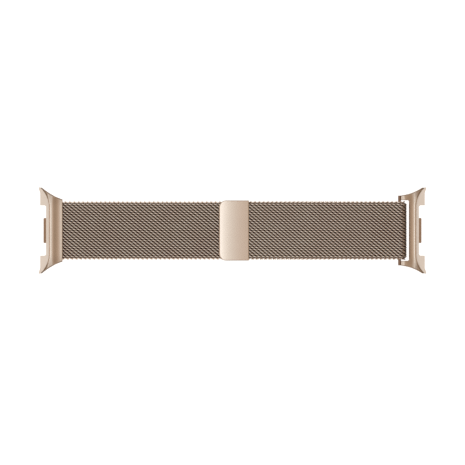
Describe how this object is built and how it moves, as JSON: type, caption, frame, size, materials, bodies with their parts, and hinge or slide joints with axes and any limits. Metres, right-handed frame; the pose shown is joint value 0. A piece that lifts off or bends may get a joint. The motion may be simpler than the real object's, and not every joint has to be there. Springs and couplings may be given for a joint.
{
  "type": "watch band",
  "caption": "Woven steel mesh watch band closed on a magnetic clasp, with quick-release adapters for a rounded watch case at both ends.",
  "frame": {"origin": "centre of the band's length and width, on the surface that it lies on", "axes": "+X along the band towards the loop adapter, +Y across it, +Z away from the wrist"},
  "size_m": [0.1322, 0.0298, 0.0043],
  "materials": {
    "shell_steel": "champagne-coloured coating on satin steel",
    "ledge_steel": "champagne-coloured coating on fine-blasted steel",
    "clasp_steel": "champagne-coloured coating on polished steel",
    "mesh_steel": "champagne-coloured coating on woven round wire",
    "bar_steel": "dark bronze-coloured coating",
    "latch_steel": "bronze-coloured coating, fine-ground",
    "button_steel": "bronze-coloured coating, fine-ground",
    "spring_steel": "bare drawn spring wire",
    "screw_steel": "turned steel with a driver slot",
    "yoke_steel": "bare rolled steel sheet",
    "magnet": "nickel-plated magnet blocks"
  },
  "bodies": {
    "left_adapter": {"left_lug_shell": "shell_steel", "left_mesh_end_bar": "mesh_steel", "left_dock_plate": "ledge_steel", "left_latch_springs": "spring_steel", "left_bottom_cover": "ledge_steel", "left_cover_screws": "screw_steel"},
    "left_latch_slide": {"left_latch": "latch_steel"},
    "left_button": {"left_release_button": "button_steel"},
    "mesh_link_1": {"mesh_link_1": "mesh_steel"},
    "mesh_link_2": {"mesh_link_2": "mesh_steel"},
    "mesh_link_3": {"mesh_link_3": "mesh_steel"},
    "mesh_link_4": {"mesh_link_4": "mesh_steel"},
    "mesh_link_5": {"mesh_link_5": "mesh_steel"},
    "mesh_link_6": {"mesh_link_6": "mesh_steel"},
    "mesh_link_7": {"mesh_link_7": "mesh_steel"},
    "mesh_link_8": {"mesh_link_8": "mesh_steel"},
    "mesh_link_9": {"mesh_link_9": "mesh_steel"},
    "mesh_link_10": {"mesh_link_10": "mesh_steel"},
    "mesh_link_11": {"mesh_link_11": "mesh_steel"},
    "mesh_link_12": {"mesh_link_12": "mesh_steel"},
    "mesh_fold": {"mesh_fold": "mesh_steel"},
    "tail_link_1": {"tail_link_1": "mesh_steel"},
    "tail_link_2": {"tail_link_2": "mesh_steel"},
    "tail_link_3": {"tail_link_3": "mesh_steel"},
    "tail_link_4": {"tail_link_4": "mesh_steel"},
    "tail_link_5": {"tail_link_5": "mesh_steel"},
    "tail_link_6": {"tail_link_6": "mesh_steel"},
    "clasp": {"clasp_mesh_end_bar": "mesh_steel", "clasp_base_plate": "clasp_steel", "clasp_magnets": "magnet", "clasp_yoke_plate": "yoke_steel", "clasp_cover": "clasp_steel"},
    "right_adapter": {"right_loop_shell": "shell_steel", "right_crossbar": "bar_steel", "right_dock_plate": "ledge_steel", "right_latch_springs": "spring_steel", "right_bottom_cover": "ledge_steel", "right_cover_screws": "screw_steel"},
    "right_latch_slide": {"right_latch": "latch_steel"},
    "right_button": {"right_release_button": "button_steel"}
  },
  "joints": [
    {"name": "mesh_flex_01", "type": "hinge", "parent": "left_adapter", "child": "mesh_link_1", "pos_m": [-0.0576, 0, 0.00065], "axis": [0, 1, 0], "range_deg": [-20, 20]},
    {"name": "mesh_flex_02", "type": "hinge", "parent": "mesh_link_1", "child": "mesh_link_2", "pos_m": [-0.04883, 0, 0.00065], "axis": [0, 1, 0], "range_deg": [-20, 20]},
    {"name": "mesh_flex_03", "type": "hinge", "parent": "mesh_link_2", "child": "mesh_link_3", "pos_m": [-0.04007, 0, 0.00065], "axis": [0, 1, 0], "range_deg": [-20, 20]},
    {"name": "mesh_flex_04", "type": "hinge", "parent": "mesh_link_3", "child": "mesh_link_4", "pos_m": [-0.0313, 0, 0.00065], "axis": [0, 1, 0], "range_deg": [-20, 20]},
    {"name": "mesh_flex_05", "type": "hinge", "parent": "mesh_link_4", "child": "mesh_link_5", "pos_m": [-0.02253, 0, 0.00065], "axis": [0, 1, 0], "range_deg": [-20, 20]},
    {"name": "mesh_flex_06", "type": "hinge", "parent": "mesh_link_5", "child": "mesh_link_6", "pos_m": [-0.01376, 0, 0.00065], "axis": [0, 1, 0], "range_deg": [-20, 20]},
    {"name": "mesh_flex_07", "type": "hinge", "parent": "mesh_link_6", "child": "mesh_link_7", "pos_m": [-0.005, 0, 0.00065], "axis": [0, 1, 0], "range_deg": [-20, 20]},
    {"name": "mesh_flex_08", "type": "hinge", "parent": "mesh_link_7", "child": "mesh_link_8", "pos_m": [0.006, 0, 0.00135], "axis": [0, 1, 0], "range_deg": [-20, 20]},
    {"name": "mesh_flex_09", "type": "hinge", "parent": "mesh_link_8", "child": "mesh_link_9", "pos_m": [0.0144, 0, 0.00135], "axis": [0, 1, 0], "range_deg": [-20, 20]},
    {"name": "mesh_flex_10", "type": "hinge", "parent": "mesh_link_9", "child": "mesh_link_10", "pos_m": [0.0228, 0, 0.00135], "axis": [0, 1, 0], "range_deg": [-20, 20]},
    {"name": "mesh_flex_11", "type": "hinge", "parent": "mesh_link_10", "child": "mesh_link_11", "pos_m": [0.0312, 0, 0.00135], "axis": [0, 1, 0], "range_deg": [-20, 20]},
    {"name": "mesh_flex_12", "type": "hinge", "parent": "mesh_link_11", "child": "mesh_link_12", "pos_m": [0.0396, 0, 0.00135], "axis": [0, 1, 0], "range_deg": [-20, 20]},
    {"name": "mesh_flex_13", "type": "hinge", "parent": "mesh_link_12", "child": "mesh_fold", "pos_m": [0.048, 0, 0.00135], "axis": [0, 1, 0], "range_deg": [-20, 20]},
    {"name": "clasp_lift", "type": "hinge", "parent": "mesh_fold", "child": "tail_link_1", "pos_m": [0.0535, 0, 0.00352], "axis": [0, 1, 0], "range_deg": [0, 110]},
    {"name": "tail_flex_1", "type": "hinge", "parent": "tail_link_1", "child": "tail_link_2", "pos_m": [0.048, 0, 0.00135], "axis": [0, 1, 0], "range_deg": [-20, 20]},
    {"name": "tail_flex_2", "type": "hinge", "parent": "tail_link_2", "child": "tail_link_3", "pos_m": [0.0396, 0, 0.00135], "axis": [0, 1, 0], "range_deg": [-20, 20]},
    {"name": "tail_flex_3", "type": "hinge", "parent": "tail_link_3", "child": "tail_link_4", "pos_m": [0.0312, 0, 0.00135], "axis": [0, 1, 0], "range_deg": [-20, 20]},
    {"name": "tail_flex_4", "type": "hinge", "parent": "tail_link_4", "child": "tail_link_5", "pos_m": [0.0228, 0, 0.00135], "axis": [0, 1, 0], "range_deg": [-20, 20]},
    {"name": "tail_flex_5", "type": "hinge", "parent": "tail_link_5", "child": "tail_link_6", "pos_m": [0.0144, 0, 0.00135], "axis": [0, 1, 0], "range_deg": [-20, 20]},
    {"name": "tail_flex_6", "type": "hinge", "parent": "tail_link_6", "child": "clasp", "pos_m": [0.006, 0, 0.00135], "axis": [0, 1, 0], "range_deg": [-20, 20]},
    {"name": "adapter_swing", "type": "hinge", "parent": "mesh_fold", "child": "right_adapter", "pos_m": [0.057, 0, 0.00205], "axis": [0, 1, 0], "range_deg": [-70, 70]},
    {"name": "button_left", "type": "slide", "parent": "left_adapter", "child": "left_button", "axis": [0, 0, 1], "range_m": [0, 0.0005], "stiffness_N_per_m": 400, "springref_m": -0.0003},
    {"name": "latch_left", "type": "slide", "parent": "left_adapter", "child": "left_latch_slide", "axis": [1, 0, 0], "range_m": [0, 0.00075], "deforming": ["left_latch_springs"]},
    {"name": "button_right", "type": "slide", "parent": "right_adapter", "child": "right_button", "axis": [0, 0, 1], "range_m": [0, 0.0005], "stiffness_N_per_m": 400, "springref_m": -0.0003},
    {"name": "latch_right", "type": "slide", "parent": "right_adapter", "child": "right_latch_slide", "axis": [-1, 0, 0], "range_m": [0, 0.00075], "deforming": ["right_latch_springs"]}
  ],
  "couplings": [
    {"joint": "tail_flex_1", "follows": "mesh_flex_13", "ratio": -1},
    {"joint": "tail_flex_2", "follows": "mesh_flex_12", "ratio": -1},
    {"joint": "tail_flex_3", "follows": "mesh_flex_11", "ratio": -1},
    {"joint": "tail_flex_4", "follows": "mesh_flex_10", "ratio": -1},
    {"joint": "tail_flex_5", "follows": "mesh_flex_09", "ratio": -1},
    {"joint": "tail_flex_6", "follows": "mesh_flex_08", "ratio": -1},
    {"joint": "latch_left", "follows": "button_left", "ratio": 1.5},
    {"joint": "latch_right", "follows": "button_right", "ratio": 1.5}
  ]
}
